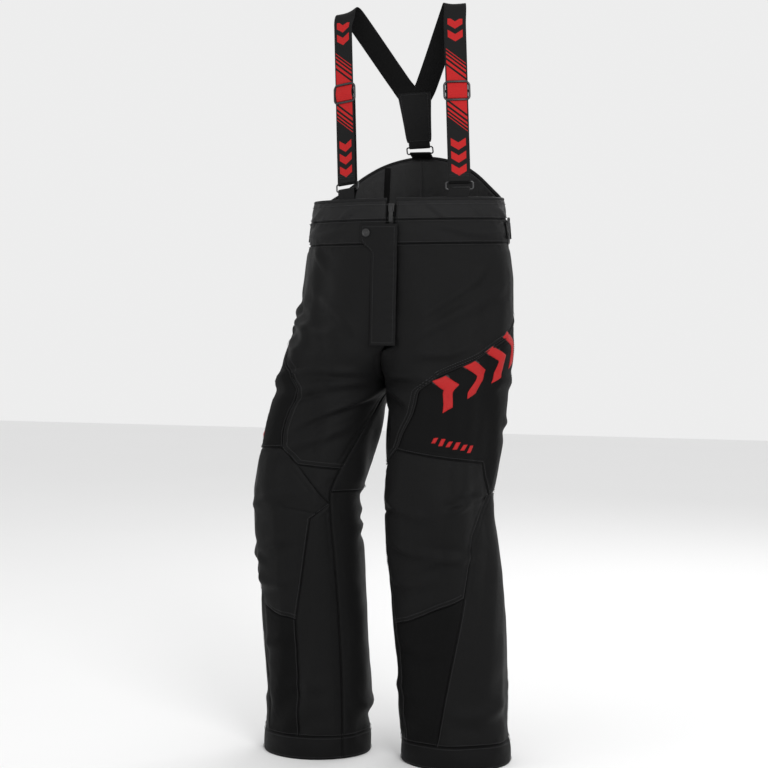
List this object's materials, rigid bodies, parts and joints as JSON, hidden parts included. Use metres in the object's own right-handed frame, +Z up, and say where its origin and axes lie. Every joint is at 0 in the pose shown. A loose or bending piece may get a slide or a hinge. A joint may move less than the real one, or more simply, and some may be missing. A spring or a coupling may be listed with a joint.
{
  "type": "insulated snow trousers with suspenders",
  "caption": "Insulated black snow trousers with a raised back, panelled legs, a snap and zip fly, and adjustable Y-back elastic suspenders.",
  "frame": {"origin": "middle of the footprint, on the surface that the hems stand on", "axes": "+Z up along the wearer's height; the wearer faces -Y, the wearer's left is +X"},
  "size_m": [0.4814, 0.2716, 1.3933],
  "materials": {
    "shell_fabric": "matte",
    "textured_shell": "matte",
    "lining_satin": "satin",
    "webbing": "matte",
    "dark_metal": "satin",
    "black_metal": "satin",
    "black_plastic": "matte",
    "red_embroidery": "matte"
  },
  "bodies": {
    "root": {"back_bib_panel": "shell_fabric", "back_calf_panel_left": "shell_fabric", "back_calf_panel_right": "shell_fabric", "back_tab": "webbing", "body_lining_left": "lining_satin", "body_lining_right": "lining_satin", "front_tab_left": "webbing", "front_tab_right": "webbing", "front_thigh_panel_left": "shell_fabric", "front_thigh_panel_right": "shell_fabric", "hem_cuff_left": "shell_fabric", "hem_cuff_right": "shell_fabric", "inner_calf_panel_left": "shell_fabric", "inner_calf_panel_right": "shell_fabric", "inner_knee_gusset_left": "shell_fabric", "inner_knee_gusset_right": "shell_fabric", "knee_panel_left": "shell_fabric", "knee_panel_right": "shell_fabric", "leg_lining_left": "lining_satin", "leg_lining_right": "lining_satin", "outer_calf_panel_left": "shell_fabric", "outer_calf_panel_right": "shell_fabric", "seat_panel_left": "shell_fabric", "seat_panel_right": "shell_fabric", "shin_panel_left": "shell_fabric", "shin_panel_right": "shell_fabric", "side_emblem": "red_embroidery", "side_hip_panel_left": "textured_shell", "side_hip_panel_right": "textured_shell", "side_loop_left": "webbing", "side_loop_right": "webbing", "side_ring_left": "dark_metal", "side_ring_right": "dark_metal", "side_strap_left": "webbing", "side_strap_right": "webbing", "snap_stud": "black_metal", "strap_return_left": "webbing", "strap_return_right": "webbing", "suspender_left": "webbing", "suspender_right": "webbing", "upper_front_left": "shell_fabric", "upper_front_right": "shell_fabric", "waistband_back": "shell_fabric", "waistband_front_left": "shell_fabric", "waistband_front_right": "shell_fabric", "yoke_loop": "webbing", "yoke_patch": "shell_fabric", "zipper_chain": "black_plastic", "zipper_tape": "webbing"},
    "zipper_slider": {"zipper_slider": "black_metal"},
    "zipper_pull": {"zipper_pull": "black_plastic"},
    "placket": {"fly_placket": "shell_fabric", "snap_cap": "black_metal"},
    "adjuster_left": {"strap_adjuster_left": "dark_metal"},
    "adjuster_right": {"strap_adjuster_right": "dark_metal"},
    "front_ring_left": {"front_ring_left": "dark_metal"},
    "front_ring_right": {"front_ring_right": "dark_metal"},
    "back_ring": {"back_ring": "dark_metal"},
    "side_tab_left": {"side_tab_left": "webbing"},
    "side_tab_right": {"side_tab_right": "webbing"}
  },
  "joints": [
    {"name": "zipper_slide", "type": "slide", "parent": "root", "child": "zipper_slider", "axis": [0, -0.0678, -0.9977], "range_m": [0, 0.2]},
    {"name": "zipper_pull_swing", "type": "hinge", "parent": "zipper_slider", "child": "zipper_pull", "pos_m": [0.04227, -0.09555, 1.02005], "axis": [-1, 0, 0], "range_deg": [0, 165]},
    {"name": "placket_open", "type": "hinge", "parent": "root", "child": "placket", "pos_m": [0.05827, -0.11017, 0.88], "axis": [0, 0.0678, 0.9977], "range_deg": [0, 120]},
    {"name": "adjuster_left_slide", "type": "slide", "parent": "root", "child": "adjuster_left", "axis": [0.0718, -0.1436, -0.987], "range_m": [-0.012, 0.1]},
    {"name": "front_ring_left_swing", "type": "hinge", "parent": "root", "child": "front_ring_left", "pos_m": [0.15838, -0.05595, 1.06454], "axis": [0.9496, 0.3125, 0.0236], "range_deg": [-8, 8]},
    {"name": "adjuster_right_slide", "type": "slide", "parent": "root", "child": "adjuster_right", "axis": [0.0718, -0.1436, -0.987], "range_m": [-0.012, 0.1]},
    {"name": "front_ring_right_swing", "type": "hinge", "parent": "root", "child": "front_ring_right", "pos_m": [-0.04984, -0.06562, 1.06467], "axis": [0.949, -0.2947, 0.1119], "range_deg": [-8, 8]},
    {"name": "back_ring_swing", "type": "hinge", "parent": "root", "child": "back_ring", "pos_m": [0.04262, 0.08258, 1.13733], "axis": [0.9992, -0.0088, 0.0385], "range_deg": [-8, 8]},
    {"name": "side_tab_left_peel", "type": "hinge", "parent": "root", "child": "side_tab_left", "pos_m": [0.22755, 0.032, 0.9781], "axis": [0.107, -0.012, -0.9942], "range_deg": [0, 100]},
    {"name": "side_tab_right_peel", "type": "hinge", "parent": "root", "child": "side_tab_right", "pos_m": [-0.14315, 0.032, 0.9739], "axis": [0.107, 0.012, 0.9942], "range_deg": [0, 100]}
  ]
}
